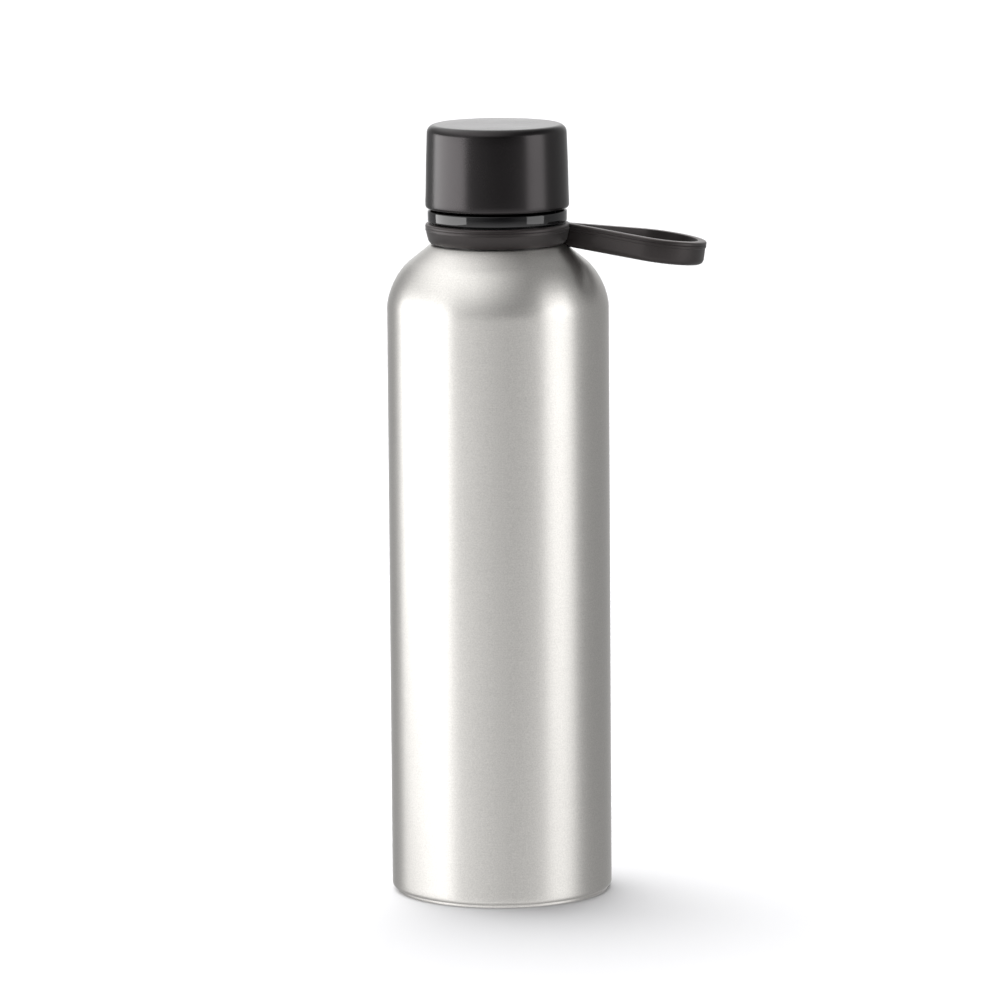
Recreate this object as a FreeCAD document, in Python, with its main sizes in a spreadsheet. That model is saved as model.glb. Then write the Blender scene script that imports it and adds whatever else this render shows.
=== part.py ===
"""Insulated steel water bottle with a threaded neck collar, a screw cap and a silicone carry strap.

Units are millimetres.  The origin is the centre of the base plane, +Z runs up the bottle's axis and
+X points at the finger loop of the strap.  Every size below is a cell of the spreadsheet "Dims", and
each sketch, feature and placement is bound to those cells.
"""
import FreeCAD, Part
import os
import re

import Sketcher

Vector = FreeCAD.Vector

# Driving sizes: (alias, value, what it is)
SIZES = [
    ("body_radius", 36.5, "outside of the straight wall"),
    ("shoulder_angle", 38.7, "slope of the shoulder cone below the horizontal, degrees"),
    ("shoulder_round", 20.0, "blend between the wall and the shoulder cone"),
    ("shelf_inset", 1.7, "edge of the flat shelf around the neck, in from the strap ring's outside"),
    ("shelf_height", 215.6, "height of that shelf, the seat of the neck collar"),
    ("neck_radius", 18.4, "outside of the steel neck"),
    ("neck_length", 30.4, "from the shelf up to the mouth rim"),
    ("shell_wall", 0.5, "sheet of the outer shell"),
    ("liner_wall", 0.5, "sheet of the inner vessel"),
    ("vacuum_gap", 2.0, "between the outer shell and the inner vessel"),
    ("neck_gap", 0.5, "between the two necks"),
    ("rim_lip", 0.6, "thickness of the welded lip that joins the two necks"),
    ("foot_inset", 1.3, "foot ring inside the straight wall"),
    ("foot_height", 0.9, "foot ring below the rolled end of the wall"),
    ("foot_width", 1.5, "width of the foot ring"),
    ("base_round", 2.0, "rolled lower end of the wall"),
    ("base_wall", 0.6, "sheet of the base pan"),
    ("pan_height", 4.6, "top of the base pan's floor"),
    ("cover_thickness", 0.8, "disc over the vacuum seal"),
    ("cover_recess", 1.2, "from the foot up to that disc"),
    ("liner_floor", 10.5, "underside of the inner vessel"),
    ("liner_corner", 6.0, "corner of the inner vessel's floor"),
    ("liner_joint", 20.0, "height of the weld between the inner vessel and its floor"),
    ("seal_radius", 1.6, "evacuation hole in the base pan"),
    ("seal_bead", 3.2, "solder bead that closes the hole"),
    ("seal_height", 1.2, "height of the bead below the pan"),
    ("getter_radius", 6.0, "getter capsule on the base pan"),
    ("getter_height", 2.4, "height of that capsule"),
    ("getter_offset", 14.0, "from the axis to the getter"),
    ("seat_wall", 2.1, "wall of the collar where the strap turns on it"),
    ("flange_width", 2.35, "glossy flange outside that seat"),
    ("flange_height", 3.9, "height of the flange"),
    ("collar_wall", 1.4, "wall of the collar behind its thread"),
    ("thread_depth", 1.0, "how far a ridge stands out"),
    ("thread_offset", 4.1, "lower end of the thread above the flange"),
    ("thread_rise", 9.0, "height that a collar ridge climbs"),
    ("thread_lead", 9.0, "rise in one turn of the cap"),
    ("thread_starts", 3, "ridges side by side"),
    ("ridge_foot", 0.7, "half the width of a ridge at its foot"),
    ("ridge_tip", 0.35, "half the width of a ridge at its tip"),
    ("cap_thread_rise", 4.5, "height that a ridge in the cap climbs"),
    ("collar_drop", 1.6, "top of the threaded sleeve below the mouth rim"),
    ("strap_inner_gap", 0.3, "running clearance of the strap on the collar"),
    ("strap_bottom_gap", 0.3, "strap above the shelf"),
    ("strap_height", 6.6, "height of the strap's ring"),
    ("strap_thickness", 2.8, "thickness of the ring near its top"),
    ("strap_taper", 1.0, "how much the ring narrows to its lower edge"),
    ("strap_gap", 0.5, "strap's ring below the flange"),
    ("loop_height", 7.8, "height of the loop's band"),
    ("loop_drop", 1.5, "flex line below the middle of the ring"),
    ("loop_thickness", 2.8, "thickness of the loop's band"),
    ("loop_reach", 25.75, "from the flex line to the centre of the loop's end"),
    ("loop_radius", 15.0, "outside of the loop's end"),
    ("loop_root_hole", 1.4, "inner corner of the loop at its root"),
    ("loop_slope", 8.0, "how far the loop droops, degrees"),
    ("ring_edge", 0.8, "round on the strap ring's lower edge"),
    ("flex_gap", 0.15, "clearance between the loop's root and the ring"),
    ("cap_gap", 0.6, "cap skirt above the flange"),
    ("cap_height", 27.5, "height of the cap"),
    ("cap_taper", 0.75, "how much the cap narrows to its top"),
    ("cap_wall", 1.55, "wall of the cap shell at its lower edge"),
    ("cap_top_wall", 1.8, "top of the cap shell"),
    ("cap_top_round", 3.0, "round at the cap's top edge"),
    ("cap_foot_round", 0.6, "round at the cap's lower edge"),
    ("thread_gap", 0.3, "radial clearance between the two threads"),
    ("core_wall", 0.8, "wall of the threaded core behind its ridges"),
    ("core_foot", 1.6, "core above the cap's lower edge"),
    ("press_gap", 0.1, "clearance between pieces that are pressed together"),
    ("plug_gap", 0.5, "plug in the mouth"),
    ("plug_wall", 1.4, "wall of the plug"),
    ("plug_depth", 8.0, "plug below the mouth rim"),
    ("plug_floor", 1.4, "thickness of the disc that closes the plug"),
    ("web_height", 1.5, "thickness of the core's web"),
    ("gasket_height", 1.5, "height of the gasket"),
    ("gasket_gap", 0.1, "gasket above the rim and below the web"),
    ("gasket_turn_gap", 0.25, "gasket around its groove"),
    ("gasket_overlap", 0.3, "gasket's grip on the plug's shoulder"),
]
# Sizes that follow from those, each a formula of the names above and before it
DERIVED = [
    ("neck_inside", "neck_radius - shell_wall"),
    ("mouth_height", "shelf_height + neck_length"),
    ("neck_top", "mouth_height - rim_lip"),
    ("bore_radius", "neck_radius + press_gap"),
    ("seat_radius", "bore_radius + seat_wall"),
    ("flange_radius", "seat_radius + flange_width"),
    ("thread_root", "bore_radius + collar_wall"),
    ("thread_crest", "thread_root + thread_depth"),
    ("strap_inside", "seat_radius + strap_inner_gap"),
    ("strap_radius", "strap_inside + strap_thickness"),
    ("shelf_radius", "strap_radius - shelf_inset"),
    ("cone_length", "(body_radius - shelf_radius) / cos(shoulder_angle)"),
    ("cone_at_wall", "shelf_height - (body_radius - shelf_radius) * tan(shoulder_angle)"),
    ("skin_gap", "shell_wall + vacuum_gap"),
    ("inmost_cone", "cone_length - (skin_gap + liner_wall) * tan(shoulder_angle / 2)"),
    ("shoulder_blend", "min(shoulder_round; 0.95 * inmost_cone / tan(45 - shoulder_angle / 2))"),
    ("shell_inside", "body_radius - shell_wall"),
    ("foot_radius", "body_radius - foot_inset"),
    ("foot_inside", "foot_radius - foot_width"),
    ("upstand_radius", "foot_inside + base_wall"),
    ("pan_underside", "pan_height - base_wall"),
    ("cover_radius", "foot_inside - press_gap"),
    ("liner_radius", "body_radius - skin_gap"),
    ("liner_inside", "liner_radius - liner_wall"),
    ("liner_neck", "neck_inside - neck_gap"),
    ("mouth_radius", "liner_neck - liner_wall"),
    ("liner_shelf_radius", "shelf_radius - skin_gap * tan(shoulder_angle / 2)"),
    ("liner_shelf", "shelf_height - skin_gap"),
    ("liner_cone_at_wall", "liner_shelf - (liner_radius - liner_shelf_radius) * tan(shoulder_angle)"),
    ("strap_bottom", "shelf_height + strap_bottom_gap"),
    ("strap_top", "strap_bottom + strap_height"),
    ("flange_bottom", "strap_top + strap_gap"),
    ("flange_top", "flange_bottom + flange_height"),
    ("thread_start", "flange_top + thread_offset"),
    ("collar_top", "mouth_height - collar_drop"),
    ("cap_bottom", "flange_top + cap_gap"),
    ("cap_top", "cap_bottom + cap_height"),
    ("cap_ceiling", "cap_top - cap_top_wall"),
    ("core_bottom", "cap_bottom + core_foot"),
    ("core_root", "thread_crest + thread_gap"),
    ("core_crest", "thread_root + thread_gap"),
    ("core_radius", "core_root + core_wall"),
    ("cap_inside", "core_radius + press_gap"),
    ("cap_radius", "cap_inside + cap_wall"),
    ("cap_top_radius", "cap_radius - cap_taper"),
    ("web_bottom", "mouth_height + gasket_height + 2 * gasket_gap"),
    ("web_top", "web_bottom + web_height"),
    ("plug_radius", "mouth_radius - plug_gap"),
    ("plug_inside", "plug_radius - plug_wall"),
    ("plug_bottom", "mouth_height - plug_depth"),
    ("groove_radius", "plug_radius - gasket_overlap - gasket_turn_gap"),
    ("flex_x", "strap_radius + flex_gap + loop_height / 2"),
    ("flex_z", "strap_bottom + strap_height / 2 - loop_drop"),
]
ALIASES = {alias for alias, value, note in SIZES}
FORMULAS = dict(DERIVED)
PLANE_OF_PROFILES = "XZ_Plane"


def make_sheet(doc):
    """Put each driving size in its own cell, with its alias beside its note."""
    sheet = doc.addObject("Spreadsheet::Sheet", "Dims")
    for row, (alias, value, note) in enumerate(SIZES, start=1):
        sheet.set("A%d" % row, note)
        sheet.set("B%d" % row, str(value))
        sheet.setAlias("B%d" % row, alias)
    doc.recompute()
    return sheet


doc = FreeCAD.newDocument("bottle")
dims = make_sheet(doc)


def cells(formula):
    """Write a formula of named sizes as a FreeCAD expression on the sheet."""
    def name_cell(match):
        word = match.group(0)
        if word in FORMULAS:
            return "(%s)" % cells(FORMULAS[word])
        return "Dims." + word if word in ALIASES else word
    return re.sub(r"[a-z_]+", name_cell, formula)


def value(formula):
    """The present value of a formula of named sizes."""
    return float(dims.evalExpression(cells(formula)))


def new_body(label):
    """An empty body at the origin, named after its piece."""
    body = doc.addObject("PartDesign::Body", label)
    body.Label = label
    body.Placement = FreeCAD.Placement()
    return body


def new_sketch(body, name, role=PLANE_OF_PROFILES):
    """A sketch on one of the body's own origin planes."""
    sketch = body.newObject("Sketcher::SketchObject", name)
    plane = [feature for feature in body.Origin.OriginFeatures if feature.Role == role][0]
    sketch.AttachmentSupport = [(plane, "")]
    sketch.MapMode = "FlatFace"
    return sketch


def bind(sketch, kind, parts, formula):
    """Add one dimension to a sketch and bind it to the sheet."""
    index = sketch.addConstraint(Sketcher.Constraint(kind, *parts, value(formula)))
    sketch.setExpression("Constraints[%d]" % index, cells(formula))


def place_point(sketch, edge, end, across, up):
    """Hold a sketch point at two formulas; a zero puts it on the axis itself."""
    for kind, axis, formula in (("DistanceX", -2, across), ("DistanceY", -1, up)):
        if formula == "0":
            sketch.addConstraint(Sketcher.Constraint("PointOnObject", edge, end, axis))
        else:
            bind(sketch, kind, (-1, 1, edge, end), formula)


def polygon(sketch, corners):
    """A closed outline of straight edges through corners given as formulas."""
    points = [Vector(value(across), value(up), 0) for across, up in corners]
    count = len(points)
    for index in range(count):
        sketch.addGeometry(Part.LineSegment(points[index], points[(index + 1) % count]), False)
    for index in range(count):
        sketch.addConstraint(Sketcher.Constraint("Coincident", index, 2, (index + 1) % count, 1))
        place_point(sketch, index, 1, *corners[index])


def revolve(body, corners, name="Profile"):
    """Turn an outline of (radius, height) corners about the bottle's axis."""
    sketch = new_sketch(body, name)
    polygon(sketch, corners)
    feature = body.newObject("PartDesign::Revolution", name + "Turned")
    feature.Profile = sketch
    feature.ReferenceAxis = (sketch, ["V_Axis"])
    feature.Angle = 360
    doc.recompute()
    return feature


def round_rings(body, radius, rings):
    """Fillet the circular edges that lie at the given (radius, height) formulas."""
    base = body.Tip
    wanted = [(value(across), value(up)) for across, up in rings]
    names = []
    for number, edge in enumerate(base.Shape.Edges, start=1):
        if not isinstance(edge.Curve, Part.Circle):
            continue
        for ring_radius, ring_height in wanted:
            near_radius = abs(edge.Curve.Radius - ring_radius) < 1e-4
            if near_radius and abs(edge.Curve.Center.z - ring_height) < 1e-4:
                names.append("Edge%d" % number)
    feature = body.newObject("PartDesign::Fillet", "Round")
    feature.Base = (base, names)
    feature.setExpression("Radius", cells(radius))
    doc.recompute()
    return feature


def helix(body, name, corners, rise):
    """One thread ridge: an outline in the axial plane carried round the axis."""
    sketch = new_sketch(body, name)
    polygon(sketch, corners)
    ridge = body.newObject("PartDesign::AdditiveHelix", name + "Ridge")
    ridge.Profile = sketch
    ridge.ReferenceAxis = (sketch, ["V_Axis"])
    ridge.Mode = "pitch-height-angle"
    ridge.setExpression("Pitch", cells("thread_lead"))
    ridge.setExpression("Height", cells(rise))
    ridge.Angle = 0
    doc.recompute()
    pattern = body.newObject("PartDesign::PolarPattern", name + "Starts")
    pattern.Originals = [ridge]
    pattern.Axis = (sketch, ["V_Axis"])
    pattern.Angle = 360
    pattern.setExpression("Occurrences", cells("thread_starts"))
    body.Tip = pattern
    doc.recompute()
    return pattern


def make_outer_shell():
    """Drawn tube of the outer wall, shoulder and neck, open at its foot and at its mouth."""
    body = new_body("outer_shell")
    inner_corner = "cone_at_wall + shell_wall * tan(shoulder_angle) - shell_wall / cos(shoulder_angle)"
    hem = "upstand_radius + press_gap"
    revolve(body, [
        (hem, "foot_height"),
        ("body_radius", "foot_height"),
        ("body_radius", "cone_at_wall"),
        ("shelf_radius", "shelf_height"),
        ("neck_radius", "shelf_height"),
        ("neck_radius", "neck_top"),
        ("neck_inside", "neck_top"),
        ("neck_inside", "shelf_height - shell_wall"),
        ("shelf_radius - shell_wall * tan(shoulder_angle / 2)", "shelf_height - shell_wall"),
        ("shell_inside", inner_corner),
        ("shell_inside", "foot_height + shell_wall"),
        (hem, "foot_height + shell_wall"),
    ])
    round_rings(body, "shoulder_blend", [("body_radius", "cone_at_wall")])
    round_rings(body, "shoulder_blend - shell_wall", [("shell_inside", inner_corner)])
    round_rings(body, "base_round", [("body_radius", "foot_height")])
    round_rings(body, "base_round - shell_wall", [("shell_inside", "foot_height + shell_wall")])
    return body


def make_outer_base():
    """Pressed pan that closes the outer shell: a foot ring, an upstand and a floor with its hole."""
    body = new_body("outer_base")
    revolve(body, [
        ("foot_inside", "0"),
        ("foot_radius", "0"),
        ("foot_radius", "foot_height"),
        ("upstand_radius", "foot_height"),
        ("upstand_radius", "pan_height"),
        ("seal_radius", "pan_height"),
        ("seal_radius", "pan_underside"),
        ("foot_inside", "pan_underside"),
    ])
    round_rings(body, "base_wall / 2", [("foot_radius", "0")])
    return body


def make_base_cover():
    """Flat disc pressed into the foot ring, over the vacuum seal."""
    body = new_body("base_cover")
    revolve(body, [
        ("0", "cover_recess"),
        ("cover_radius", "cover_recess"),
        ("cover_radius", "cover_recess + cover_thickness"),
        ("0", "cover_recess + cover_thickness"),
    ])
    return body


def make_vacuum_seal():
    """Solder bead that plugs the evacuation hole, with its stem in the hole."""
    body = new_body("vacuum_seal")
    stem = "seal_radius - press_gap"
    revolve(body, [
        ("0", "pan_underside - seal_height"),
        ("seal_bead", "pan_underside - seal_height"),
        ("seal_bead", "pan_underside"),
        (stem, "pan_underside"),
        (stem, "pan_height"),
        ("0", "pan_height"),
    ])
    return body


def make_getter():
    """Getter capsule that stands on the base pan inside the vacuum space."""
    capsule = doc.addObject("Part::Cylinder", "vacuum_getter")
    capsule.Label = "vacuum_getter"
    capsule.setExpression("Radius", cells("getter_radius"))
    capsule.setExpression("Height", cells("getter_height"))
    capsule.setExpression("Placement.Base.x", cells("-getter_offset"))
    capsule.setExpression("Placement.Base.z", cells("pan_height"))
    return capsule


def make_inner_vessel():
    """Inner wall, shoulder and neck, with the lip that is welded to the outer neck."""
    body = new_body("inner_vessel")
    inner_corner = "liner_cone_at_wall + liner_wall * tan(shoulder_angle) - liner_wall / cos(shoulder_angle)"
    inner_shelf = "liner_shelf - liner_wall"
    revolve(body, [
        ("liner_radius", "liner_joint"),
        ("liner_radius", "liner_cone_at_wall"),
        ("liner_shelf_radius", "liner_shelf"),
        ("liner_neck", "liner_shelf"),
        ("liner_neck", "neck_top"),
        ("neck_radius", "neck_top"),
        ("neck_radius", "mouth_height"),
        ("mouth_radius", "mouth_height"),
        ("mouth_radius", inner_shelf),
        ("liner_shelf_radius - liner_wall * tan(shoulder_angle / 2)", inner_shelf),
        ("liner_inside", inner_corner),
        ("liner_inside", "liner_joint"),
    ])
    round_rings(body, "shoulder_blend - skin_gap", [("liner_radius", "liner_cone_at_wall")])
    round_rings(body, "shoulder_blend - skin_gap - liner_wall", [("liner_inside", inner_corner)])
    return body


def make_inner_base():
    """Pressed cup that closes the inner vessel, welded to it edge to edge."""
    body = new_body("inner_base")
    revolve(body, [
        ("0", "liner_floor"),
        ("liner_radius", "liner_floor"),
        ("liner_radius", "liner_joint"),
        ("liner_inside", "liner_joint"),
        ("liner_inside", "liner_floor + liner_wall"),
        ("0", "liner_floor + liner_wall"),
    ])
    round_rings(body, "liner_corner", [("liner_radius", "liner_floor")])
    round_rings(body, "liner_corner - liner_wall", [("liner_inside", "liner_floor + liner_wall")])
    return body


def make_neck_collar():
    """Collar pressed over the steel neck: the strap's seat, the glossy flange and the thread."""
    body = new_body("neck_collar")
    revolve(body, [
        ("bore_radius", "shelf_height"),
        ("seat_radius", "shelf_height"),
        ("seat_radius", "flange_bottom"),
        ("flange_radius", "flange_bottom"),
        ("flange_radius", "flange_top"),
        ("thread_root", "flange_top"),
        ("thread_root", "collar_top"),
        ("bore_radius", "collar_top"),
    ])
    round_rings(body, "flange_height / 4", [("flange_radius", "flange_bottom")])
    round_rings(body, "flange_height / 8", [("flange_radius", "flange_top")])
    sunk = "thread_root - thread_gap"
    helix(body, "CollarThread", [
        (sunk, "thread_start - ridge_foot"),
        ("thread_crest", "thread_start - ridge_tip"),
        ("thread_crest", "thread_start + ridge_tip"),
        (sunk, "thread_start + ridge_foot"),
    ], "thread_rise")
    return body


def make_cap_shell():
    """Soft-touch outer cap, a tapered cup with a rounded top edge."""
    body = new_body("cap_shell")
    revolve(body, [
        ("cap_inside", "cap_bottom"),
        ("cap_radius", "cap_bottom"),
        ("cap_top_radius", "cap_top"),
        ("0", "cap_top"),
        ("0", "cap_ceiling"),
        ("cap_inside", "cap_ceiling"),
    ])
    round_rings(body, "cap_top_round", [("cap_top_radius", "cap_top")])
    round_rings(body, "cap_foot_round", [("cap_radius", "cap_bottom")])
    return body


def make_cap_core():
    """Threaded core of the cap: sleeve, web and the plug that enters the mouth."""
    body = new_body("cap_core")
    revolve(body, [
        ("core_root", "core_bottom"),
        ("core_radius", "core_bottom"),
        ("core_radius", "web_top"),
        ("plug_inside", "web_top"),
        ("plug_inside", "plug_bottom"),
        ("plug_radius", "plug_bottom"),
        ("plug_radius", "mouth_height - gasket_gap"),
        ("groove_radius", "mouth_height - gasket_gap"),
        ("groove_radius", "web_bottom"),
        ("core_root", "web_bottom"),
    ])
    middle = "thread_start + thread_lead / thread_starts / 2"
    sunk = "core_root + thread_gap"
    helix(body, "CapThread", [
        (sunk, middle + " - ridge_foot"),
        (sunk, middle + " + ridge_foot"),
        ("core_crest", middle + " + ridge_tip"),
        ("core_crest", middle + " - ridge_tip"),
    ], "cap_thread_rise")
    return body


def make_plug_disc():
    """Disc welded inside the plug's lower end, which shuts the foam in."""
    body = new_body("cap_plug_disc")
    revolve(body, [
        ("0", "plug_bottom"),
        ("plug_inside - press_gap", "plug_bottom"),
        ("plug_inside - press_gap", "plug_bottom + plug_floor"),
        ("0", "plug_bottom + plug_floor"),
    ])
    return body


def make_cap_foam():
    """Foam puck between the plug's disc and the cap's top."""
    body = new_body("cap_foam")
    revolve(body, [
        ("0", "plug_bottom + plug_floor"),
        ("plug_inside - press_gap", "plug_bottom + plug_floor"),
        ("plug_inside - press_gap", "cap_ceiling"),
        ("0", "cap_ceiling"),
    ])
    return body


def make_cap_gasket():
    """Silicone ring in the plug's groove, which seals on the mouth rim."""
    body = new_body("cap_gasket")
    inside = "groove_radius + gasket_turn_gap"
    revolve(body, [
        (inside, "mouth_height + gasket_gap"),
        ("neck_radius", "mouth_height + gasket_gap"),
        ("neck_radius", "web_bottom - gasket_gap"),
        (inside, "web_bottom - gasket_gap"),
    ])
    return body


def make_strap_ring():
    """Ring of the silicone strap, which turns between the shelf and the flange."""
    body = new_body("strap_ring")
    lower = "strap_radius - strap_taper"
    revolve(body, [
        ("strap_inside", "strap_bottom"),
        (lower, "strap_bottom"),
        ("strap_radius", "strap_top - strap_taper"),
        ("strap_radius", "strap_top"),
        ("strap_inside", "strap_top"),
    ])
    round_rings(body, "ring_edge", [(lower, "strap_bottom")])
    round_rings(body, "ring_edge / 2", [("strap_radius", "strap_top")])
    return body


def tapered_slot(sketch, far, far_radius, near, near_radius):
    """Two arcs on the X axis joined by their common tangents, all held by formulas."""
    centres = (Vector(value(near), 0, 0), Vector(value(far), 0, 0))
    radii = (value(near_radius), value(far_radius))
    sine = (radii[1] - radii[0]) / (centres[1].x - centres[0].x)
    cosine = (1 - sine * sine) ** 0.5
    upper = Vector(-sine, cosine, 0)
    lower = Vector(-sine, -cosine, 0)
    tops = [centre + upper * radius for centre, radius in zip(centres, radii)]
    feet = [centre + lower * radius for centre, radius in zip(centres, radii)]
    near_side = centres[0] - Vector(radii[0], 0, 0)
    far_side = centres[1] + Vector(radii[1], 0, 0)
    sketch.addGeometry(Part.Arc(tops[0], near_side, feet[0]), False)
    sketch.addGeometry(Part.LineSegment(feet[0], feet[1]), False)
    sketch.addGeometry(Part.Arc(feet[1], far_side, tops[1]), False)
    sketch.addGeometry(Part.LineSegment(tops[1], tops[0]), False)
    for first, second in ((0, 1), (1, 2), (2, 3), (3, 0)):
        sketch.addConstraint(Sketcher.Constraint("Tangent", first, 2, second, 1))
    place_point(sketch, 0, 3, near, "0")
    place_point(sketch, 2, 3, far, "0")
    bind(sketch, "Radius", (0,), near_radius)
    bind(sketch, "Radius", (2,), far_radius)


def make_strap_loop():
    """Finger loop of the strap, a band on edge whose root is rounded about the flex line."""
    body = new_body("strap_loop")
    half = "(loop_height / 2)"
    outline = new_sketch(body, "LoopOutline", "XY_Plane")
    tapered_slot(outline, "loop_reach", "loop_radius", "0", half)
    band = body.newObject("PartDesign::Pad", "LoopBand")
    band.Profile = outline
    band.Midplane = True
    band.setExpression("Length", cells("loop_height"))
    doc.recompute()

    hole_far = "(loop_radius - loop_thickness)"
    hole_near = "loop_reach - (%s - loop_root_hole) * loop_reach / (loop_radius - %s)" % (hole_far, half)
    hole = new_sketch(body, "LoopHole", "XY_Plane")
    tapered_slot(hole, "loop_reach", hole_far, hole_near, "loop_root_hole")
    opening = body.newObject("PartDesign::Pocket", "LoopOpening")
    opening.Profile = hole
    opening.Type = "ThroughAll"
    opening.Midplane = True
    doc.recompute()

    end = new_sketch(body, "RootRound")
    radius = value(half)
    top, bottom, left = Vector(0, radius, 0), Vector(0, -radius, 0), Vector(-radius, 0, 0)
    corner, foot = Vector(-2 * radius, radius, 0), Vector(-2 * radius, -radius, 0)
    end.addGeometry(Part.Arc(top, left, bottom), False)
    for start, finish in ((bottom, foot), (foot, corner), (corner, top)):
        end.addGeometry(Part.LineSegment(start, finish), False)
    for first, second in ((0, 1), (1, 2), (2, 3), (3, 0)):
        end.addConstraint(Sketcher.Constraint("Coincident", first, 2, second, 1))
    end.addConstraint(Sketcher.Constraint("Coincident", 0, 3, -1, 1))
    place_point(end, 0, 1, "0", half)
    end.addConstraint(Sketcher.Constraint("PointOnObject", 0, 2, -2))
    place_point(end, 2, 1, "-2 * " + half, "-" + half)
    place_point(end, 3, 1, "-2 * " + half, half)
    rounding = body.newObject("PartDesign::Pocket", "RootRounding")
    rounding.Profile = end
    rounding.Type = "ThroughAll"
    rounding.Midplane = True
    doc.recompute()

    droop = FreeCAD.Rotation(Vector(0, 1, 0), value("loop_slope"))
    body.Placement = FreeCAD.Placement(Vector(value("flex_x"), 0, value("flex_z")), droop)
    body.setExpression("Placement.Base.x", cells("flex_x"))
    body.setExpression("Placement.Base.z", cells("flex_z"))
    body.setExpression("Placement.Rotation.Angle", cells("loop_slope"))
    return body


MAKERS = [
    make_outer_shell,
    make_outer_base,
    make_base_cover,
    make_vacuum_seal,
    make_getter,
    make_inner_vessel,
    make_inner_base,
    make_neck_collar,
    make_cap_shell,
    make_cap_core,
    make_plug_disc,
    make_cap_foam,
    make_cap_gasket,
    make_strap_ring,
    make_strap_loop,
]


def main():
    """Build every piece, refuse a failed one, and write each to its own file."""
    pieces = [make() for make in MAKERS]
    doc.recompute()
    for item in doc.Objects:
        if "Invalid" in item.State or "Error" in item.State:
            raise RuntimeError("%s failed: %s" % (item.Label, item.State))
    for piece in pieces:
        if piece.Shape.isNull() or not piece.Shape.isValid():
            raise RuntimeError("%s has no valid shape" % piece.Label)
    os.makedirs("parts", exist_ok=True)
    for piece in pieces:
        piece.Shape.exportStep("parts/%s.step" % piece.Label)
        box = piece.Shape.BoundBox
        print("%-16s solids %d volume %9.1f  x %.2f..%.2f  z %.2f..%.2f" % (
            piece.Label, len(piece.Shape.Solids), piece.Shape.Volume,
            box.XMin, box.XMax, box.ZMin, box.ZMax))


main()
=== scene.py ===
"""Insulated steel bottle: the looks of its wall, base, liner, collar, cap and silicone carry strap.

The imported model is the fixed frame.  Each operator makes one piece round it, and one makes the studio.
"""
import math

import bmesh
import bpy
from bpy.props import FloatProperty, FloatVectorProperty, IntProperty, PointerProperty
from mathutils import Matrix, Vector


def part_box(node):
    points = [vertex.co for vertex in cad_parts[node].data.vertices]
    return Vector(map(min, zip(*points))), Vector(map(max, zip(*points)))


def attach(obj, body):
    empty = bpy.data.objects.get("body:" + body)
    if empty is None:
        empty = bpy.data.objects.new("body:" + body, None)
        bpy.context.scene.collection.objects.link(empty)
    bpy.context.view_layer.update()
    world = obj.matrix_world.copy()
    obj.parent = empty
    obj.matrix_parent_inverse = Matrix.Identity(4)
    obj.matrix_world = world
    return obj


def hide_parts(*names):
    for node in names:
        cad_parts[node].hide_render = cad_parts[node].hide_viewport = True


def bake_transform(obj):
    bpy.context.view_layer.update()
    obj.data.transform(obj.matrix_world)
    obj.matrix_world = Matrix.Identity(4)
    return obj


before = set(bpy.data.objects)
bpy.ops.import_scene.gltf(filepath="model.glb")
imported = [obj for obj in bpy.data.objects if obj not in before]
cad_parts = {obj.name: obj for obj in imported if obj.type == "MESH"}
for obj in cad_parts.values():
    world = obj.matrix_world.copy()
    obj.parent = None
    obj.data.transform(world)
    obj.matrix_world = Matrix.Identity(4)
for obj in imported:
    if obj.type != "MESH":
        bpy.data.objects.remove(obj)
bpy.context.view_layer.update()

bl_info = {
    "name": "Insulated Bottle",
    "version": (1, 0, 0),
    "blender": (4, 5, 0),
    "location": "View3D > Sidebar > Bottle",
    "description": "Builds an insulated steel bottle with its collar, cap and carry strap",
    "category": "Object",
}

MM = 0.001
SIDES = 180
SMOOTH_ANGLE = math.radians(32)
LEG_STEPS = 16
END_STEPS = 48
THREAD_STEPS = 96
SAME_PLACE = 1e-6
ON_RING = 2e-6
SLIVER = 2e-5
SPECK = 1e-5

# Brightness of the surroundings by bearing in degrees, from behind round the left, front and right.
ROOM_LIGHT = (
    (-180, 1.5), (-168, 1.0), (-153, 0.35), (-130, 0.4), (-58, 0.85), (-40, 0.55), (-20, 0.26),
    (0, 0.1), (18, 0.1), (42, 0.4), (60, 0.6), (85, 0.55), (108, 0.42), (140, 0.4), (158, 0.55), (180, 1.5),
)
ROOM_PEAK = 2.0
# Light below the horizon, seen by reflections: a share of the walls, a glow and an even level.
FLOOR_ECHO = 0.68
FLOOR_GLOW = 1.48
FLOOR_LEVEL = 0.1
# That glow as the direction dips from the horizon to straight down.
GLOW_BY_DIP = ((0.07, 0.0), (0.2, 0.55), (0.4, 1.0), (0.6, 0.7), (0.9, 0.4))
FLOOR_SIZE = 12

SUN_LEAN, SUN_TURN, SUN_SPREAD = math.radians(-36), math.radians(-74), math.radians(70)
LEFT_SOFTBOX = {"bearing": 87, "distance": 1.25, "height": 0.17, "size": (1.75, 0.44)}
RIGHT_STRIP = {"bearing": -66, "distance": 1.45, "height": 0.42, "size": (0.86, 0.95)}
CAMERA_ASIDE = 0.0002

# Half heights of a thread ridge at its foot and tip, and how far it starts inside the wall it stands on.
RIDGE_FOOT, RIDGE_TIP, RIDGE_ROOT = 0.7 * MM, 0.35 * MM, 0.3 * MM


def cad_radius(node):
    """Outer radius of a round CAD piece that is centred on the axis."""
    low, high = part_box(node)
    return (high.y - low.y) / 2


def cad_foot(node):
    """Lowest height of a CAD piece."""
    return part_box(node)[0].z


def cad_top(node):
    """Highest height of a CAD piece."""
    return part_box(node)[1].z


def length(label, default, note):
    """A length that a user can change."""
    return FloatProperty(name=label, description=note, default=default, min=0, precision=5, unit="LENGTH")


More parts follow.
